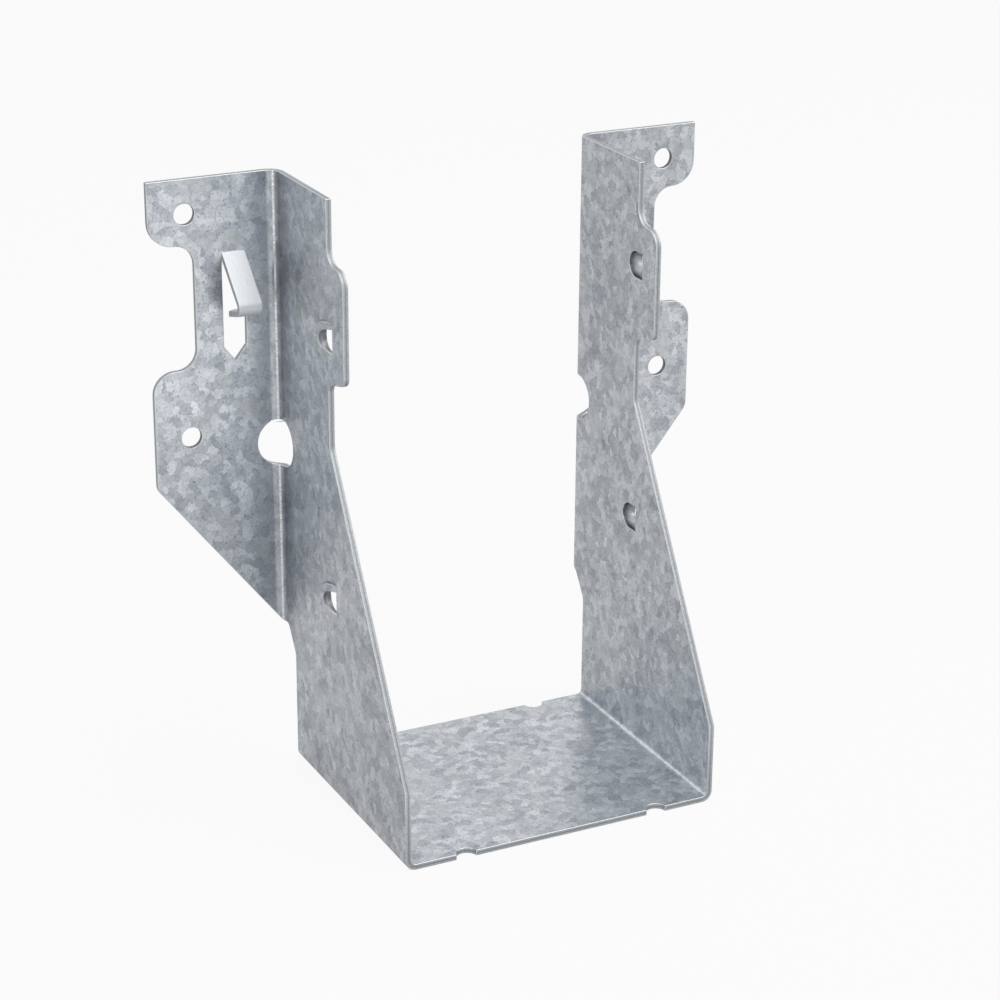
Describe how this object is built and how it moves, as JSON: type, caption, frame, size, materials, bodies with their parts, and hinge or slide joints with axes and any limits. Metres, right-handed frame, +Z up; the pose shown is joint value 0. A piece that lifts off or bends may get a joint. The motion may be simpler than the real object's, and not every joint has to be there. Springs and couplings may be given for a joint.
{
  "type": "joist hanger",
  "caption": "Face-mount joist hanger folded from one galvanised sheet: a seat between two side panels, outward nailing flanges with prongs, and domed nail guides.",
  "frame": {"origin": "middle of the seat's underside, under the centre of the part's box in X and Y", "axes": "+X to the right seen from the front, +Y from the joist towards the header, +Z up"},
  "size_m": [0.1194, 0.06, 0.1234],
  "materials": {
    "galvanised_steel": "hot-dip galvanised, spangled"
  },
  "bodies": {
    "root": {"hanger": "galvanised_steel"}
  },
  "joints": []
}
